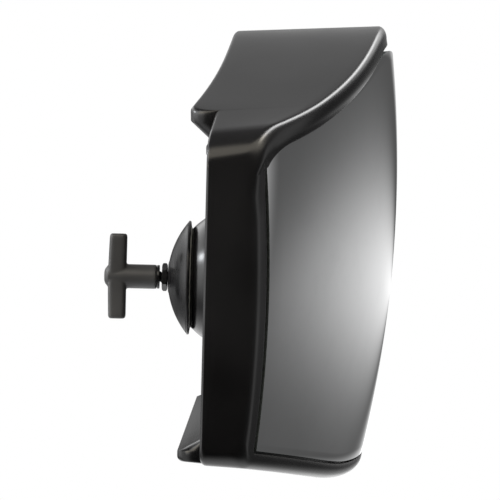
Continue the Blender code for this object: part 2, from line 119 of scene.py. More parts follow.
LIP_CLEARANCE = 0.8
PANEL_X = -4.0
PANEL_SWEEP = 9.5
TOP_FLANGE_X = -5.2
TOP_FLANGE_SWEEP = 26.0
TOP_FLANGE_POWER = 3.4
TOP_FLANGE_MOST_SWEEP = 14.4
TOP_FLANGE_THICKNESS = 5.4
TOP_FLANGE_ROOT_SLOPE = 0.72
TOP_FLANGE_DROP = 3.0
BOTTOM_FLANGE_X = -21.2
BOTTOM_FLANGE_HEIGHT = -60.2
SHELF_HEIGHT = -55.8
SHELF_RISE = 5.0
TOP_FLANGE_END = 155.0
TOP_FLANGE_END_ROUND = 5.0
BOTTOM_FLANGE_END = 160.5
BOTTOM_FLANGE_END_ROUND = 4.0
FLANGE_EDGE_RADIUS = 2.0

FLOOR_HEIGHT = -0.42
FLOOR_RADIUS = 1.6
SURROUND_RADIUS = 7.0


# ---------------------------------------------------------------- camera, backdrop and light

def make_camera():
    data = bpy.data.cameras.new("camera")
    data.lens = 180.0
    data.sensor_width = 36.0
    camera = bpy.data.objects.new("camera", data)
    bpy.context.scene.collection.objects.link(camera)
    roll = Matrix.Rotation(math.radians(-1.4), 4, "Y")
    level = Matrix.Rotation(math.radians(90), 4, "X")
    camera.matrix_world = Matrix.Translation((0.0349, -1.0, 0.01165)) @ roll @ level
    bpy.context.scene.camera = camera


def hide_from_light(thing):
    """A backdrop that is seen directly and neither lights the object nor shows in its gloss."""
    thing.visible_diffuse = False
    thing.visible_glossy = False
    thing.visible_transmission = False
    thing.visible_shadow = False


def glow_material(name, colour, strength, diffuse):
    material = bpy.data.materials.new(name)
    material.use_nodes = True
    shader = material.node_tree.nodes["Principled BSDF"]
    shader.inputs["Base Color"].default_value = (diffuse, diffuse, diffuse, 1.0)
    shader.inputs["Roughness"].default_value = 0.9
    shader.inputs["Specular IOR Level"].default_value = 0.0
    shader.inputs["Emission Color"].default_value = (*colour, 1.0)
    shader.inputs["Emission Strength"].default_value = strength
    return material


def make_backdrop():
    """A pale floor under the object and a plain white surround."""
    shape = bmesh.new()
    bmesh.ops.create_circle(shape, cap_ends=True, segments=96, radius=FLOOR_RADIUS)
    mesh = bpy.data.meshes.new("floor")
    shape.to_mesh(mesh)
    shape.free()
    floor = bpy.data.objects.new("floor", mesh)
    floor.location = (0.03, 0.0, FLOOR_HEIGHT)
    mesh.materials.append(glow_material("floor_pale", (1.0, 1.0, 1.0), 0.72, 0.5))
    floor.visible_glossy = False
    floor.visible_diffuse = False

    shape = bmesh.new()
    bmesh.ops.create_uvsphere(shape, u_segments=48, v_segments=24, radius=SURROUND_RADIUS)
    mesh = bpy.data.meshes.new("surround")
    shape.to_mesh(mesh)
    shape.free()
    surround = bpy.data.objects.new("surround", mesh)
    mesh.materials.append(glow_material("surround_white", (1.0, 1.0, 1.0), 1.0, 0.0))
    hide_from_light(surround)
    for thing in (floor, surround):
        bpy.context.scene.collection.objects.link(thing)


def ramp(tree, value, low, high, out_low=0.0, out_high=1.0):
    """A smooth step on a value."""
    step = tree.nodes.new("ShaderNodeMapRange")
    step.interpolation_type = "SMOOTHSTEP"
    step.inputs["From Min"].default_value = low
    step.inputs["From Max"].default_value = high
    step.inputs["To Min"].default_value = out_low
    step.inputs["To Max"].default_value = out_high
    tree.links.new(value, step.inputs["Value"])
    return step.outputs["Result"]


def maths(tree, operation, first, second):
    node = tree.nodes.new("ShaderNodeMath")
    node.operation = operation
    for socket, value in zip(node.inputs, (first, second)):
        if isinstance(value, (int, float)):
            socket.default_value = value
        else:
            tree.links.new(value, socket)
    return node.outputs[0]


def gather(tree, operation, values):
    """Folds a list of values together with one maths operation."""
    total = values[0]
    for value in values[1:]:
        total = maths(tree, operation, total, value)
    return total


def straight(tree, value, slope, start):
    """A value times a slope, plus a start."""
    result = maths(tree, "MULTIPLY_ADD", value, slope)
    result.node.inputs[2].default_value = start
    return result


def make_world():
    """A soft studio. Its brightness in a direction follows the tilt of a surface that would mirror
    a look along LIGHT_AXIS that way: `back` is how far that surface faces -Y, `up` how far it
    faces up and `right` how far it faces +X. `lean` is up against right."""
    world = bpy.data.worlds.new("studio")
    world.use_nodes = True
    tree = world.node_tree
    background = tree.nodes["Background"]
    place = tree.nodes.new("ShaderNodeTexCoord")
    away = tree.nodes.new("ShaderNodeVectorMath")
    away.operation = "SUBTRACT"
    tree.links.new(place.outputs["Generated"], away.inputs[0])
    away.inputs[1].default_value = Vector(LIGHT_AXIS).normalized()
    tilt = tree.nodes.new("ShaderNodeVectorMath")
    tilt.operation = "NORMALIZE"
    tree.links.new(away.outputs[0], tilt.inputs[0])
    split = tree.nodes.new("ShaderNodeSeparateXYZ")
    tree.links.new(tilt.outputs[0], split.inputs[0])
    right, ahead, up = split.outputs
    back = maths(tree, "MULTIPLY", ahead, -1.0)
    left = maths(tree, "MULTIPLY", right, -1.0)
    down = maths(tree, "MULTIPLY", up, -1.0)
    lean = maths(tree, "DIVIDE", up, maths(tree, "MAXIMUM", right, 0.05))

    def patch(*edges):
        """Smooth steps multiplied together: (value, low, high) and, if not 0 to 1, the two ends."""
        return gather(tree, "MULTIPLY", [ramp(tree, *edge) for edge in edges])

    # the wide glow in front of the glass, narrower and weaker as `back` grows
    middle = straight(tree, back, 0.10, -0.065)
    width = maths(tree, "MAXIMUM", straight(tree, back, -0.19, 0.165), 0.03)
    bright = maths(tree, "MAXIMUM", straight(tree, back, -1.68, 1.12), 0.0)
    offset = maths(tree, "DIVIDE", maths(tree, "SUBTRACT", up, middle), width)
    bell = maths(tree, "MULTIPLY", maths(tree, "MULTIPLY", offset, offset), -0.5)
    fall = maths(tree, "EXPONENT", bell, 0.0)
    glow = gather(tree, "MULTIPLY", [bright, fall, ramp(tree, right, 0.1, 0.5)])

    # light from above, much weaker as `back` grows
    over = patch((up, 0.50, 0.86), (back, 0.02, 0.35, 0.38, 0.36), (back, 0.50, 0.62, 1.0, 0.15))
    # a narrow bright strip for the highlight on the rim's top edge
    rim = patch((lean, 0.95, 1.45), (lean, 1.6, 2.3, 1.0, 0.0), (right, 0.15, 0.30),
                (back, 0.84, 0.95, 16.0, 0.0), (back, 0.20, 0.80))
    # a wider and weaker band beside that strip
    sheen = patch((lean, 0.55, 0.90), (lean, 1.6, 2.3, 1.0, 0.0), (right, 0.15, 0.30),
                  (back, 0.14, 0.30, 0.0, 1.2), (back, 0.35, 0.60, 1.0, 0.1))
    # a low band in front, above the camera
    front = patch((up, 0.14, 0.24), (up, 0.42, 0.52, 1.0, 0.0), (back, 0.8, 0.92, 0.0, 2.0))
    # light from below, weaker on the right
    under = patch((down, 0.35, 0.75, 0.0, 1.4), (right, 0.4, 0.7, 1.0, 0.4))
    # a tall soft box on the left, weaker low down
    side = patch((left, 0.50, 0.66, 0.0, 2.4), (left, 0.74, 0.88, 1.0, 0.25),
                 (up, -0.35, 0.1, 0.12, 1.0), (back, 0.10, 0.35))
    # a soft box to the left of the camera, and a weaker one to its right
    box = patch((left, 0.28, 0.40), (left, 0.55, 0.68, 1.0, 0.0), (back, 0.70, 0.82),
                (up, 0.0, 0.25, 0.9, 3.0), (up, 0.40, 0.50, 1.0, 0.0))
    near = patch((right, 0.56, 0.66), (back, 0.63, 0.70), (back, 0.76, 0.84, 0.6, 0.0))
    # a faint even fill that fades out round the camera
    base = ramp(tree, back, 0.78, 0.95, 0.086, 0.0)
    total = gather(tree, "ADD", [base, glow, over, rim, sheen, front, under, side, box, near])
    tree.links.new(total, background.inputs["Strength"])
    # the low band in front is warm, the rest is neutral
    tint = tree.nodes.new("ShaderNodeMix")
    tint.data_type = "RGBA"
    tint.inputs[6].default_value = (1.0, 1.0, 1.0, 1.0)
    tint.inputs[7].default_value = (1.0, 0.93, 0.80, 1.0)
    tree.links.new(maths(tree, "MINIMUM", front, 1.0), tint.inputs[0])
    tree.links.new(tint.outputs[2], background.inputs["Color"])
    bpy.context.scene.world = world


def make_soft_light():
    """A small cool light, high on the left."""
    place = Vector((-1.25, -0.18, 0.62))
    data = bpy.data.lights.new("left_soft", "AREA")
    data.energy = 4.6
    data.color = (0.93, 0.96, 1.0)
    data.size = 0.16
    light = bpy.data.objects.new("left_soft", data)
    bpy.context.scene.collection.objects.link(light)
    light.location = place
    light.rotation_euler = (-place).to_track_quat("-Z", "Y").to_euler()


make_camera()
make_backdrop()
make_world()
make_soft_light()
bpy.context.scene.view_settings.view_transform = "Standard"


# ---------------------------------------------------------------- materials

def input_or_value(tree, socket, value):
    if hasattr(value, "links"):
        tree.links.new(value, socket)
    elif isinstance(value, tuple):
        socket.default_value = (*value, 1.0)
    else:
        socket.default_value = value


class Surface:
    """A procedural material: a Principled shader fed by noises in the object's own space."""

    def __init__(self, name, colour, roughness, metallic=0.0):
        self.material = bpy.data.materials.new(name)
        self.material.use_nodes = True
        self.tree = self.material.node_tree
        self.shader = self.tree.nodes["Principled BSDF"]
        self.place = self.tree.nodes.new("ShaderNodeTexCoord").outputs["Object"]
        self.set("Base Color", colour)
        self.set("Roughness", roughness)
        self.set("Metallic", metallic)

    def set(self, name, value):
        input_or_value(self.tree, self.shader.inputs[name], value)

    def noise(self, scale, detail=3.0, stretch=(1.0, 1.0, 1.0), rough=0.5):
        mapping = self.tree.nodes.new("ShaderNodeMapping")
        mapping.inputs["Scale"].default_value = stretch
        self.tree.links.new(self.place, mapping.inputs["Vector"])
        node = self.tree.nodes.new("ShaderNodeTexNoise")
        node.inputs["Scale"].default_value = scale
        node.inputs["Detail"].default_value = detail
        node.inputs["Roughness"].default_value = rough
        self.tree.links.new(mapping.outputs["Vector"], node.inputs["Vector"])
        return node.outputs["Fac"]

    def cells(self, scale):
        node = self.tree.nodes.new("ShaderNodeTexVoronoi")
        node.inputs["Scale"].default_value = scale
        self.tree.links.new(self.place, node.inputs["Vector"])
        return node.outputs["Distance"]

    def step(self, value, low, high, out_low, out_high):
        return ramp(self.tree, value, low, high, out_low, out_high)

    def mix(self, share, first, second):
        node = self.tree.nodes.new("ShaderNodeMix")
        node.data_type = "RGBA"
        input_or_value(self.tree, node.inputs[0], share)
        input_or_value(self.tree, node.inputs[6], first)
        input_or_value(self.tree, node.inputs[7], second)
        return node.outputs[2]

    def edges(self, low, high):
        """1 on worn outer edges, 0 elsewhere."""
        node = self.tree.nodes.new("ShaderNodeNewGeometry")
        return self.step(node.outputs["Pointiness"], low, high, 0.0, 1.0)

    def bump(self, *layers):
        """Layers are (height, strength, distance in millimetres) triples."""
        normal = None
        for height, strength, distance in layers:
            node = self.tree.nodes.new("ShaderNodeBump")
            node.inputs["Strength"].default_value = strength
            node.inputs["Distance"].default_value = distance * MM
            self.tree.links.new(height, node.inputs["Height"])
            if normal:
                self.tree.links.new(normal, node.inputs["Normal"])
            normal = node.outputs["Normal"]
        self.tree.links.new(normal, self.shader.inputs["Normal"])


def moulded_plastic(name, colour, dust, roughness, grain_scale, grain, wear):
    surface = Surface(name, colour, roughness)
    cloud = surface.noise(22.0, 4.0)
    shade = surface.mix(surface.step(cloud, 0.3, 0.8, 0.0, dust), colour,
                        tuple(3.0 * c + 0.01 for c in colour))
    shade = surface.mix(surface.edges(0.53, 0.62), shade, tuple(c + wear for c in colour))
    surface.set("Base Color", shade)
    fine = surface.noise(grain_scale, 2.0)
    surface.set("Roughness", surface.step(surface.noise(60.0, 5.0), 0.2, 0.8,
                                          roughness - 0.02, roughness + 0.03))
    surface.bump((fine, grain, 0.03), (surface.cells(grain_scale * 0.7), 0.5 * grain, 0.02))
    return surface.material


def metal(name, colour, roughness, metallic, streak=(1.0, 1.0, 1.0), tint=None):
    surface = Surface(name, colour, roughness, metallic)
    cloud = surface.noise(120.0, 4.0)
    other = tint or tuple(0.8 * c for c in colour)
    surface.set("Base Color", surface.mix(surface.step(cloud, 0.35, 0.7, 0.0, 1.0), colour, other))
    brushed = surface.noise(900.0, 2.0, streak)
    surface.set("Roughness", surface.step(brushed, 0.3, 0.7, roughness - 0.06, roughness + 0.08))
    surface.bump((brushed, 0.12, 0.02), (surface.noise(2500.0, 1.0), 0.06, 0.01))
    return surface.material


def soft_material(name, colour, other, roughness, cell_scale, depth):
    surface = Surface(name, colour, roughness)
    cells = surface.cells(cell_scale)
    surface.set("Base Color", surface.mix(surface.step(cells, 0.1, 0.6, 0.0, 1.0), colour, other))
    surface.set("Roughness", surface.step(cells, 0.0, 0.7, roughness - 0.05, roughness + 0.05))
    surface.bump((cells, 0.5, depth))
    return surface.material


def mirror_material():
    """Silvered glass: a clear reflection with a trace of dust."""
    silver = (0.93, 0.935, 0.94)
    surface = Surface("silvered_glass", silver, 0.04, 1.0)
    dust = surface.noise(45.0, 6.0, rough=0.65)
    surface.set("Roughness", surface.step(dust, 0.45, 0.8, 0.03, 0.07))
    surface.set("Base Color", surface.mix(surface.step(dust, 0.4, 0.8, 0.0, 1.0),
                                          silver, (0.88, 0.885, 0.89)))
    surface.bump((surface.noise(9.0, 1.0), 0.05, 0.02))
    return surface.material


def ground_edge_material():
    # Near-black base colour: painted shade for the dark line along the glass's edge. The fine grain and
    # roughness are the ground edge's own.
    edge_painted_shade = (0.03, 0.035, 0.035)
    surface = Surface("ground_glass_edge_painted_shade", edge_painted_shade, 0.35)
    fine = surface.noise(1800.0, 2.0)
    surface.set("Base Color", surface.mix(surface.step(fine, 0.3, 0.7, 0.0, 1.0),
                                          edge_painted_shade, (0.07, 0.08, 0.08)))
    surface.bump((fine, 0.3, 0.03))
    return surface.material


PLASTIC = moulded_plastic("head_plastic", (0.005, 0.005, 0.0055), 0.35, 0.22, 1500.0, 0.06, 0.03)
KNOB_PLASTIC = moulded_plastic("knob_plastic_fine", (0.045, 0.045, 0.046), 0.5, 0.45, 2600.0, 0.35, 0.05)
MIRROR = mirror_material()
GLASS_EDGE = ground_edge_material()
BLACK_STEEL = metal("black_steel_fine", (0.010, 0.010, 0.011), 0.25, 0.3, (1.0, 0.15, 0.15),
                    (0.02, 0.02, 0.021))
ZINC = metal("zinc_fine", (0.55, 0.55, 0.52), 0.32, 1.0, (0.2, 1.0, 1.0), (0.48, 0.50, 0.46))
BRASS = metal("brass_fine", (0.68, 0.52, 0.26), 0.28, 1.0, (1.0, 0.1, 0.1), (0.58, 0.42, 0.2))
NYLON = soft_material("nylon_fine", (0.72, 0.71, 0.66), (0.78, 0.77, 0.72), 0.45, 900.0, 0.02)
FOAM = soft_material("foam_fine", (0.02, 0.02, 0.02), (0.05, 0.05, 0.05), 0.9, 2200.0, 0.15)
FILM = soft_material("film_fine", (0.22, 0.23, 0.24), (0.28, 0.29, 0.3), 0.55, 500.0, 0.03)


# ---------------------------------------------------------------- outline of the head

def clamp(value, low=0.0, high=1.0):
    return min(high, max(low, value))


def shoulder(share, slope, start, softness):
    """How far an edge has turned in: level at the middle, then a straight slope to the end."""
    past = share - start
    return slope * (past + math.hypot(past, softness))


def top_fall(y):
    return shoulder(abs(y) / HALF_LENGTH, *TOP_TURN)


def bottom_rise(y):
    return shoulder(abs(y) / HALF_LENGTH, *BOTTOM_TURN)


def corner_drop(y, end, radius):
    past = clamp(abs(y) - (end - radius), 0.0, radius)
    return radius - math.sqrt(radius * radius - past * past)


def glass_top(y):
    return GLASS_TOP - top_fall(y) - corner_drop(y, GLASS_HALF_LENGTH, GLASS_CORNER_RADIUS)


def glass_bottom(y):
    return GLASS_BOTTOM + bottom_rise(y)


def glass_x(y, z):
    share = abs(y) / HALF_LENGTH
    setback = GLASS_SETBACK * share ** 2 + GLASS_END_SETBACK * share ** 4
    crown = GLASS_CROWN_HEIGHT - GLASS_CROWN_FALL * share ** 2 - GLASS_CROWN_END_FALL * share ** 8
    edge = GLASS_TOP - top_fall(y)
    bulge = ((edge - crown) ** 2 - (z - crown) ** 2) / (2 * GLASS_VERTICAL_RADIUS)
    return GLASS_FRONT_X - setback + bulge


def behind_glass(y, z, depth):
    step = 0.5
    along = (glass_x(y + step, z) - glass_x(y - step, z)) / (2 * step)
    up = (glass_x(y, z + step) - glass_x(y, z - step)) / (2 * step)
    return glass_x(y, z) - depth * math.sqrt(1 + along * along + up * up)


def lip_x(y, z, top):
    share = abs(y) / HALF_LENGTH
    top_line = LIP_FRONT_X - LIP_SWEEP * share ** 2 - LIP_END_SWEEP * share ** LIP_END_POWER
    height = clamp(1 - (top - z) / LIP_BLEND_HEIGHT)
    blend = height * height * (3 - 2 * height)
    fade = 1 - 0.5 * clamp((share - LIP_END_SHARE) / (1 - LIP_END_SHARE)) ** 2
    return glass_x(y, z) + blend * fade * (top_line - glass_x(y, top))


def flange_reach(y, end, end_round):
    """1 along a flange, and down to 0 round its end."""
    past = clamp((abs(y) - (end - end_round)) / end_round)
    return math.sqrt(1 - past * past)


def recess_edges(y):
    """The lowest and highest edge of the opening in the rim that the glass sits in."""
    slot = SLOT_AT_TOP * max(0.0, 1 - (y / (0.6 * HALF_LENGTH)) ** 2) ** 2
    return glass_bottom(y) - EDGE_GAP, glass_top(y) + EDGE_GAP + slot


def quarter(start, corner, end, steps):
    """A quarter ellipse from start to end that bulges towards corner."""
    points = []
    for i in range(steps + 1):
        turn = math.radians(90 * i / steps)
        along, across = 1 - math.cos(turn), math.sin(turn)
        points.append(tuple(s + (c - s) * across + (e - c) * along
                            for s, c, e in zip(start, corner, end)))
    return points


def between(start, end, steps):
    """Points between two others, without either of them."""
    return [tuple(s + (e - s) * i / steps for s, e in zip(start, end)) for i in range(1, steps)]


def head_section(y, inset, opening):
    """The head's outline across its length. `opening` is how deep the glass's recess is here."""
    share = abs(y) / HALF_LENGTH
    reach = flange_reach(y, TOP_FLANGE_END, TOP_FLANGE_END_ROUND)
    low_reach = flange_reach(y, BOTTOM_FLANGE_END, BOTTOM_FLANGE_END_ROUND)
    top = TOP_HEIGHT - top_fall(y) - corner_drop(y, HALF_LENGTH, TOP_CORNER_RADIUS)
    low_corner = corner_drop(y, HALF_LENGTH, BOTTOM_CORNER_RADIUS)
    bottom = BOTTOM_HEIGHT + bottom_rise(y) + low_corner
    panel = PANEL_X - PANEL_SWEEP * share ** 2 + 0.5 * inset
    sweep = min(TOP_FLANGE_SWEEP * share ** TOP_FLANGE_POWER, TOP_FLANGE_MOST_SWEEP)
    swept_tip = min(TOP_FLANGE_X - sweep, panel - 1.0)
    tip = panel - (panel - swept_tip) * reach
    run = lip_x(y, top - LIP_HEIGHT, top - LIP_HEIGHT) - LIP_DEPTH - swept_tip
    tip_top = top - TOP_FLANGE_DROP * (1 - (tip - swept_tip) / run)
    tail = panel - (panel - BOTTOM_FLANGE_X) * low_reach
    tail_bottom = BOTTOM_FLANGE_HEIGHT + low_corner
    shelf = SHELF_HEIGHT + low_corner
    edge = FLANGE_EDGE_RADIUS
    lip_base = top - LIP_HEIGHT
    low = bottom + LOWER_LIP_HEIGHT

    def front(z):
        return lip_x(y, z, lip_base) - inset

    points = quarter((tip, tip_top - edge), (tip, tip_top), (tip + edge, tip_top), 5)
    crest = front(lip_base)
    points += between(points[-1], (crest - LIP_DEPTH, top), 14)
    points += quarter((crest - LIP_DEPTH, top), (crest, top), (crest, lip_base), 9)

    opening_low, opening_high = recess_edges(y)
    opening_high = min(opening_high, lip_base - LIP_CLEARANCE)
    opening_low = max(opening_low, low + 0.2)
    fillet = min(LIP_INNER_FILLET, opening)
    points += [(front(z), z) for _, z in between((0, lip_base), (0, opening_high + fillet), 4)]
    points += quarter((front(opening_high + fillet), opening_high + fillet),
                      (front(opening_high), opening_high),
                      (front(opening_high) - fillet, opening_high), 4)

    def floor(z):
        return front(z) + (behind_glass(y, z, RECESS_DEPTH) - front(z)) * clamp(opening / RECESS_DEPTH)

    for i in range(13):
        z = opening_high + (opening_low - opening_high) * i / 12
        points.append((min(floor(z), front(z) - fillet), z))
    points += quarter((front(opening_low) - fillet, opening_low),
                      (front(opening_low), opening_low),
                      (front(opening_low - fillet), opening_low - fillet), 4)
    points += [(front(z), z) for _, z in between((0, opening_low - fillet), (0, low), 3)]
    front_low = front(low)
    depth = min(LOWER_LIP_DEPTH, 0.6 * (front_low - panel))
    points += quarter((front_low, low), (front_low, bottom), (front_low - depth, bottom), 9)

    points += between(points[-1], (tail + edge, tail_bottom), 10)
    points += quarter((tail + edge, tail_bottom), (tail, tail_bottom), (tail, tail_bottom + edge), 5)
    brow = (tail + 0.2 * (panel - tail), shelf)
    points.append((tail, tail_bottom + 1.8 * edge))
    points += between(points[-1], brow, 2) + [brow]
    foot = (panel, shelf + SHELF_RISE)
    toe = (panel - 0.12 * (panel - tail), shelf + 0.8 * SHELF_RISE)
    points += between(brow, toe, 5)
    thick = 1.7 * edge + (TOP_FLANGE_THICKNESS - 1.7 * edge) * clamp((panel - tip) / 8.0)
    root = tip_top - thick - TOP_FLANGE_ROOT_SLOPE * (panel - tip) - 0.8
    points += quarter(toe, foot, (panel, shelf + SHELF_RISE + 2.0), 4)
    points += between(points[-1], (panel, root - 1.0), 14)
    shoulder_x = panel - 0.2 * (panel - tip)
    points += quarter((panel, root - 1.0), (panel, root), (shoulder_x, root + 0.14 * (panel - tip)), 3)
    points += between(points[-1], (tip + 0.5, tip_top - thick), 4)
    points += [(tip + 0.5, tip_top - thick), (tip + 0.12, tip_top - thick + 0.35)]
    return points


def head_stations():
    """Places along half the head with the inset and opening there: (y, inset, opening)."""
    glass_end = GLASS_HALF_LENGTH + EDGE_GAP
    flange_start = TOP_FLANGE_END - TOP_FLANGE_END_ROUND
    places = [flange_start * i / 34 for i in range(35)]
    for end, end_round in ((TOP_FLANGE_END, TOP_FLANGE_END_ROUND),
                           (BOTTOM_FLANGE_END, BOTTOM_FLANGE_END_ROUND)):
        places += [end - end_round + end_round * math.sin(math.radians(turn))
                   for turn in (0, 12, 24, 36, 48, 58, 66, 73, 80, 86, 90)]
        places += [end + 0.8, end + 1.7, end + 3.4]
    corner = GLASS_HALF_LENGTH - GLASS_CORNER_RADIUS
    places += [corner + GLASS_CORNER_RADIUS * math.sin(math.radians(turn))
               for turn in (8, 22, 36, 50, 62, 72, 80, 86)]
    stations = [(y, 0.0, RECESS_DEPTH) for y in sorted(set(places))] + [(glass_end, 0.0, RECESS_DEPTH)]
    stations.append((glass_end + 0.02, 0.0, LIP_INNER_FILLET))
    for turn in (20, 45, 70, 90):
        lean = math.radians(turn)
        stations.append((glass_end + 0.02 + LIP_INNER_FILLET * (1 - math.cos(lean)), 0.0,
                         LIP_INNER_FILLET * (1 - math.sin(lean)) + 0.02))
    start = stations[-1][0]
    flat_end = HALF_LENGTH - END_FILLET
    stations += [(start + (flat_end - start) * i / 4, 0.0, 0.02) for i in range(1, 5)]
    for turn in (15, 30, 45, 60, 75, 90):
        lean = math.radians(turn)
        stations.append((flat_end + END_FILLET * math.sin(lean), END_FILLET * (1 - math.cos(lean)), 0.02))
    return stations


# ---------------------------------------------------------------- mesh making

def from_ball(x, y, z):
    return Vector(((BALL_X + x) * MM, y * MM, z * MM))


def link(thing, material=None):
    bpy.context.scene.collection.objects.link(thing)
    if material:
        thing.data.materials.append(material)
    return thing


def finish_mesh(name, shape, sharp=38):
    bmesh.ops.remove_doubles(shape, verts=shape.verts, dist=0.000002)
    bmesh.ops.recalc_face_normals(shape, faces=shape.faces)
    mesh = bpy.data.meshes.new(name)
    shape.to_mesh(mesh)
    shape.free()
    mesh.shade_smooth()
    mesh.set_sharp_from_angle(angle=math.radians(sharp))
    return mesh


def loft(name, rings, material, sharp=38, looped=False):
    """Skins rings of points that all have the same count, in millimetres from the ball's centre.
    The last ring joins the first if looped, and both are capped if not."""
    shape = bmesh.new()
    rows = [[shape.verts.new(from_ball(*point)) for point in ring] for ring in rings]
    count = len(rows[0])
    pairs = list(zip(rows, rows[1:]))
    if looped:
        pairs.append((rows[-1], rows[0]))
    for near, far in pairs:
        for i in range(count):
            j = (i + 1) % count
            shape.faces.new((near[i], near[j], far[j], far[i]))
    if not looped:
        shape.faces.new(rows[0])
        shape.faces.new(list(reversed(rows[-1])))
    return link(bpy.data.objects.new(name, finish_mesh(name, shape, sharp)), material)


def ring_about_stud(radius, x, count, wave=None):
    """A ring round the stud. `wave` gives the radius for each angle in place of a plain one."""
    points = []
    for i in range(count):
        turn = 2 * math.pi * i / count
        reach = wave(turn) if wave else radius
        points.append((x, reach * math.sin(turn), reach * math.cos(turn)))
    return points


def turned(name, profile, material, count=96, sharp=38, looped=True):
    """A turned piece from (radius, place along X) pairs: a closed ring, or capped at both ends."""
    rings = [ring_about_stud(radius, x, count) for radius, x in profile]
    return loft(name, rings, material, sharp, looped)


def arc(centre_x, radius, start, end, steps):
    points = []
    for i in range(steps + 1):
        turn = math.radians(start + (end - start) * i / steps)
        points.append((radius * math.sin(turn), centre_x - radius * math.cos(turn)))
    return points


def apply_modifiers(thing):
    graph = bpy.context.evaluated_depsgraph_get()
    mesh = bpy.data.meshes.new_from_object(thing.evaluated_get(graph))
    thing.modifiers.clear()
    thing.data = mesh


def combine(target, cutter, operation):
    boolean = target.modifiers.new(cutter.name, "BOOLEAN")
    boolean.operation = operation
    boolean.solver = "EXACT"
    boolean.object = cutter
    cutter.hide_render = True
    apply_modifiers(target)
    bpy.data.objects.remove(cutter, do_unlink=True)


# ---------------------------------------------------------------- the head

def make_head():
    half = head_stations()
    stations = [(-y, inset, opening) for y, inset, opening in reversed(half[1:])] + half
    rings = [[(x, y, z) for x, z in head_section(y, inset, opening)]
             for y, inset, opening in stations]
    head = loft("head_shell", rings, PLASTIC, sharp=32)
    dome_profile = [(0.01, 1.0), (DOME_RADIUS, 1.0)]
    dome_profile += list(reversed(arc(0.0, DOME_RADIUS, 0.02, 88.0, 36)))
    dome = turned("dome", dome_profile, PLASTIC, 120, looped=False)
    socket = turned("socket", arc(0.0, DOME_RADIUS - DOME_WALL, 0.02, 179.98, 40), None, 96, looped=False)
    hole = turned("hole", [(STUD_HOLE_RADIUS, -20.0), (STUD_HOLE_RADIUS, -33.0)], None, 96, looped=False)
    combine(head, dome, "UNION")
    combine(head, socket, "DIFFERENCE")
    combine(head, hole, "DIFFERENCE")
    head.data.shade_smooth()
    head.data.set_sharp_from_angle(angle=math.radians(32))
    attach(head, "head")
    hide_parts("housing")


def make_glass():
    corner = GLASS_HALF_LENGTH - GLASS_CORNER_RADIUS
    half = [corner * i / 48 for i in range(49)]
    half += [corner + GLASS_CORNER_RADIUS * math.sin(math.radians(turn))
             for turn in (12, 24, 36, 48, 58, 67, 75, 82, 90)]
    places = [-y for y in reversed(half[1:])] + half
    rows = 44
    shape = bmesh.new()
    grid = []
    for y in places:
        low, high = glass_bottom(y), glass_top(y)
        heights = [low + (high - low) * i / rows for i in range(rows + 1)]
        grid.append([shape.verts.new(from_ball(glass_x(y, z), y, z)) for z in heights])
    for left, right in zip(grid, grid[1:]):
        for i in range(rows):
            shape.faces.new((left[i], right[i], right[i + 1], left[i + 1]))
    pane = link(bpy.data.objects.new("mirror_pane", finish_mesh("mirror_pane", shape)), MIRROR)
    if pane.data.polygons[0].normal.x < 0:
        pane.data.flip_normals()
    pane.data.materials.append(GLASS_EDGE)
    solid = pane.modifiers.new("thickness", "SOLIDIFY")
    solid.thickness = GLASS_THICKNESS * MM
    solid.offset = -1.0
    solid.use_even_offset = True
    solid.material_offset_rim = 1
    bevel = pane.modifiers.new("ground_edge", "BEVEL")
    bevel.width = 0.35 * MM
    bevel.segments = 2
    bevel.limit_method = "ANGLE"
    bevel.angle_limit = math.radians(50)
    bevel.material = 1
    apply_modifiers(pane)
    pane.data.set_sharp_from_angle(angle=math.radians(25))
    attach(pane, "head")
    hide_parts("mirror_glass")


# ---------------------------------------------------------------- the socket's hardware

def make_cup():
    """The pressed outer cup, with its rolled rim and flat seat for the nut."""
    inside = RING_OUTSIDE + 0.3
    rim_angle = math.degrees(math.asin(CUP_RIM_RADIUS / CUP_RADIUS))
    seat_angle = math.degrees(math.asin(CUP_SEAT_RADIUS / CUP_RADIUS))
    bore = STUD_RADIUS + 0.3
    inner_rim = CUP_INNER_RIM_ANGLE
    bore_angle = math.degrees(math.asin(bore / inside))
    outer = arc(CUP_CENTRE_X, CUP_RADIUS, seat_angle + 0.6, rim_angle - 1.0, 26)
    rim_radius, rim_x = arc(CUP_CENTRE_X, CUP_RADIUS, rim_angle, rim_angle, 1)[0]
    inner_radius, inner_x = arc(0.0, inside, inner_rim, inner_rim, 1)[0]
    profile = [(bore, CUP_SEAT_X + 0.3), (bore + 0.3, CUP_SEAT_X), (CUP_SEAT_RADIUS - 0.7, CUP_SEAT_X),
               (CUP_SEAT_RADIUS - 0.25, CUP_SEAT_X + 0.08)]
    profile += outer
    profile += [(rim_radius - 0.06, rim_x - 0.2), (rim_radius, rim_x + 0.1), (rim_radius - 0.1, rim_x + 0.5),
                (rim_radius - 0.5, rim_x + 0.65), (rim_radius - 0.9, rim_x + 0.4),
                (inner_radius + 0.1, inner_x)]
    profile += list(reversed(arc(0.0, inside, bore_angle, inner_rim, 20)))
    cup = turned("cup_shell", profile, BLACK_STEEL, 128, 30)
    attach(cup, "mount_side")
    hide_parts("outer_cup")


def hexagon_reach(turn, corner_radius):
    """A hexagon's reach at an angle, with a corner straight up."""
    flat = corner_radius * math.cos(math.radians(30))
    past = (turn + math.radians(30)) % math.radians(60) - math.radians(30)
    return flat / math.cos(math.radians(30) - abs(past))


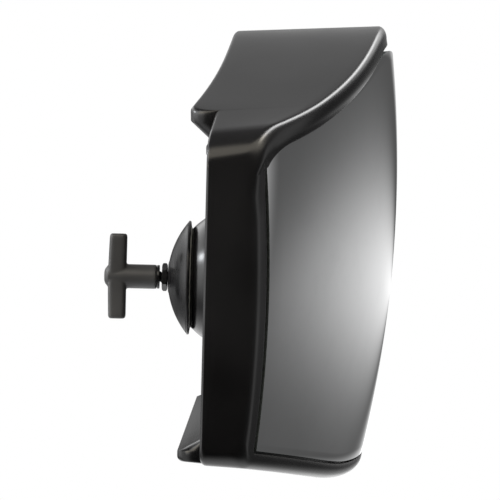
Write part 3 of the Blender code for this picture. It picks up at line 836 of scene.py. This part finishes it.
def make_nut(name, node, start, thickness, material):
    """A hexagon nut, its corners chamfered on both faces, with a countersunk bore."""
    bore = STUD_RADIUS + 0.15
    face_radius = NUT_CORNER_RADIUS * 0.86
    count = 144
    end = start + thickness

    def chamfered(amount):
        return lambda turn: min(hexagon_reach(turn, NUT_CORNER_RADIUS), face_radius + amount)

    rings = [ring_about_stud(bore, start + 0.4, count), ring_about_stud(bore + 0.4, start, count),
             ring_about_stud(face_radius - 0.2, start, count)]
    for amount, depth in ((0.1, 0.05), (0.35, 0.18), (0.6, 0.34), (0.8, 0.5)):
        rings.append(ring_about_stud(0, start + depth, count, chamfered(amount)))
    for amount, depth in ((0.8, 0.5), (0.6, 0.34), (0.35, 0.18), (0.1, 0.05)):
        rings.append(ring_about_stud(0, end - depth, count, chamfered(amount)))
    rings += [ring_about_stud(face_radius - 0.2, end, count), ring_about_stud(bore + 0.4, end, count),
              ring_about_stud(bore, end - 0.4, count)]
    nut = loft(name, rings, material, 24, looped=True)
    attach(nut, "mount_side")
    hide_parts(node)


def make_stud():
    """The stud, its outer half threaded and its outer end chamfered."""
    count = 32
    start, end = STUD_ENDS
    steps = int((THREAD_END_X - start) / THREAD_PITCH * THREAD_STEPS)
    rings = [ring_about_stud(STUD_RADIUS - 0.7, start, count)]
    for i in range(steps + 1):
        x = start + 0.25 + (THREAD_END_X - start - 0.25) * i / steps
        fade = clamp((THREAD_END_X - x) / THREAD_PITCH) * clamp((x - start) / 0.5, 0.3)

        def reach(turn, x=x, fade=fade):
            phase = (x / THREAD_PITCH - turn / (2 * math.pi)) % 1.0
            groove = 1 - abs(2 * phase - 1)
            return STUD_RADIUS - THREAD_DEPTH * fade * clamp(1.25 * groove - 0.12)

        rings.append(ring_about_stud(0, x, count, reach))
    rings += [ring_about_stud(STUD_RADIUS, end - 0.4, count), ring_about_stud(STUD_RADIUS - 0.4, end, count)]
    stud = loft("threaded_stud", rings, BLACK_STEEL, 50)
    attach(stud, "mount_side")
    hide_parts("pivot_stud")


# ---------------------------------------------------------------- the knob

def rounded_rectangle(half_x, half_y, radius, count):
    """Points round a superellipse that stands in for a rounded rectangle, as (x, y) pairs."""
    points = []
    power = CORNER_SHARPNESS * min(half_x, half_y) / radius
    for i in range(count):
        turn = 2 * math.pi * i / count
        c, s = math.cos(turn), math.sin(turn)
        points.append((half_x * math.copysign(abs(c) ** (2 / power), c),
                       half_y * math.copysign(abs(s) ** (2 / power), s)))
    return points


def make_knob():
    """The moulded T-knob: a hub and a cross bar that run into each other with soft corners."""
    profile = [(HUB_RADIUS - 0.5, HUB_FACE_X), (HUB_RADIUS - 0.1, HUB_FACE_X - 0.15),
               (HUB_RADIUS, HUB_FACE_X - 0.6), (HUB_RADIUS, BAR_INNER_X - 2.0),
               (HUB_RADIUS - 0.5, BAR_OUTER_X), (3.0, KNOB_TIP_X + 0.35),
               (2.0, KNOB_TIP_X), (0.05, KNOB_TIP_X)]
    knob = turned("knob_body", profile, KNOB_PLASTIC, 72, looped=False)
    middle = (BAR_INNER_X + BAR_OUTER_X) / 2
    half_depth = (BAR_INNER_X - BAR_OUTER_X) / 2
    half = BAR_LENGTH / 2
    rings = []
    for z in [-place for place in reversed(BAR_STATIONS[1:])] + list(BAR_STATIONS):
        share = abs(z)
        slim = 1 - BAR_TAPER * share * share
        past = clamp((share - BAR_END_START) / (1 - BAR_END_START))
        ease = math.sqrt(1 - BAR_END_ROUNDING * past * past)
        section = rounded_rectangle(half_depth * slim * ease, BAR_WIDTH / 2 * slim * ease, BAR_CORNER, 40)
        rings.append([(middle + BAR_BOW * share + x, y, z * half) for x, y in section])
    bar = loft("knob_bar", rings, None)
    combine(knob, bar, "UNION")
    bore_end = HUB_FACE_X - INSERT_LENGTH - 0.3
    bore = turned("knob_bore", [(INSERT_RADIUS + 0.3, HUB_FACE_X + 1.0), (INSERT_RADIUS + 0.3, bore_end),
                                (STUD_RADIUS + 0.6, bore_end - 0.05), (STUD_RADIUS + 0.6, KNOB_BORE_END_X)],
                  None, 48, looped=False)
    combine(knob, bore, "DIFFERENCE")
    remesh = knob.modifiers.new("even_out", "REMESH")
    remesh.mode = "VOXEL"
    remesh.voxel_size = KNOB_VOXEL * MM
    remesh.use_smooth_shade = True
    smooth = knob.modifiers.new("soften", "SMOOTH")
    smooth.factor = 0.5
    smooth.iterations = 5
    apply_modifiers(knob)
    knob.data.materials.clear()
    knob.data.materials.append(KNOB_PLASTIC)
    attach(knob, "knob")
    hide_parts("t_knob")


def chamfered_ring(name, node, body, bore, radius, start, end, material):
    """A flat ring with eased edges."""
    ease = min(0.15, 0.25 * abs(end - start))
    low, high = min(start, end), max(start, end)
    profile = [(bore, low + ease), (bore + ease, low), (radius - ease, low), (radius, low + ease),
               (radius, high - ease), (radius - ease, high), (bore + ease, high), (bore, high - ease)]
    ring = turned(name, profile, material, 72)
    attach(ring, body)
    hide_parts(node)


make_head()
make_glass()
make_cup()
make_stud()
make_nut("cup_nut_hex", "cup_nut", -BALL_X, NUT_THICKNESS, BLACK_STEEL)
make_knob()
chamfered_ring("knob_washer_ring", "knob_washer", "knob_carrier", STUD_RADIUS + 0.3, HUB_RADIUS - 0.1,
               KNOB_FACE_X - WASHER_THICKNESS, KNOB_FACE_X, BLACK_STEEL)
chamfered_ring("brass_insert", "knob_insert", "knob", STUD_RADIUS + 0.3, INSERT_RADIUS,
               HUB_FACE_X - INSERT_LENGTH, HUB_FACE_X - 0.2, BRASS)

KEPT = {
    "safety_film": FILM, "tape_top": FOAM, "tape_bottom": FOAM, "tape_left": FOAM, "tape_right": FOAM,
    "outer_friction_ring": NYLON, "inner_friction_ring": NYLON, "inner_cup": ZINC, "clamp_spring": ZINC,
    "spring_washer": ZINC, "lock_nut": ZINC, "lock_nut_nylon_ring": NYLON,
}
for node, material in KEPT.items():
    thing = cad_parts[node]
    thing.data.materials.clear()
    thing.data.materials.append(material)
